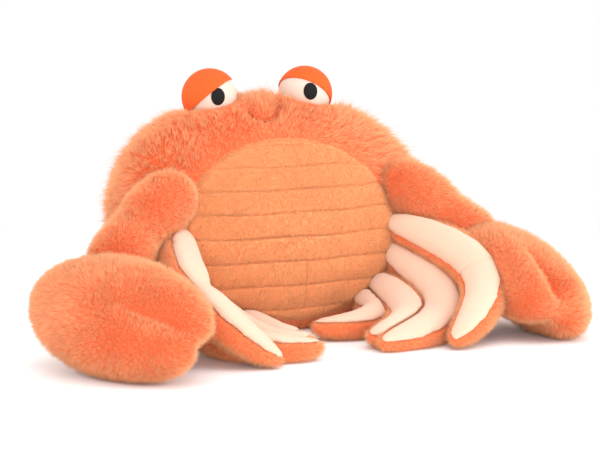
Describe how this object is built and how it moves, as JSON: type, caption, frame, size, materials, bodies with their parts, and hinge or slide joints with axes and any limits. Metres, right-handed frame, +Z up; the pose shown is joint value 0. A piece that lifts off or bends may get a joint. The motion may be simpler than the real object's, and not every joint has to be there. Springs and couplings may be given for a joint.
{
  "type": "plush crab",
  "caption": "Seated plush crab with a ribbed oval belly, stalkless ball eyes under half lids, two mitten claws and curled legs with smooth pale fronts.",
  "frame": {"origin": "a point of the flat patch that the body sits on, on the floor, midway between the body's sides, 55 mm behind the front edge of that patch and 7 mm ahead of its back edge", "axes": "+X towards the right claw as seen from the front, +Z up, and the belly and face look along -Y"},
  "size_m": [0.4129, 0.2894, 0.194],
  "materials": {
    "coral_fur": "long soft pile",
    "peach_cord": "short ribbed pile",
    "cream_suede": "smooth brushed fabric",
    "eye_white": "smooth felt",
    "lid_orange": "smooth felt",
    "pupil_black": "embroidered",
    "mouth_thread": "thread",
    "fibre_fill": "loose fibre"
  },
  "bodies": {
    "root": {"body_cover": "coral_fur", "body_filling": "fibre_fill", "belly_panel": "peach_cord", "mouth_stitch": "mouth_thread", "eye_left": "eye_white", "eyelid_left": "lid_orange", "pupil_left": "pupil_black", "arm_left": "coral_fur", "claw_left": "coral_fur", "leg_left_1_front": "cream_suede", "leg_left_1_back": "coral_fur", "leg_left_2_front": "cream_suede", "leg_left_2_back": "coral_fur", "leg_left_3_front": "cream_suede", "leg_left_3_back": "coral_fur", "leg_left_4_front": "cream_suede", "leg_left_4_back": "coral_fur", "eye_right": "eye_white", "eyelid_right": "lid_orange", "pupil_right": "pupil_black", "arm_right": "coral_fur", "claw_right": "coral_fur", "leg_right_1_front": "cream_suede", "leg_right_1_back": "coral_fur", "leg_right_2_front": "cream_suede", "leg_right_2_back": "coral_fur", "leg_right_3_front": "cream_suede", "leg_right_3_back": "coral_fur", "leg_right_4_front": "cream_suede", "leg_right_4_back": "coral_fur"}
  },
  "joints": []
}
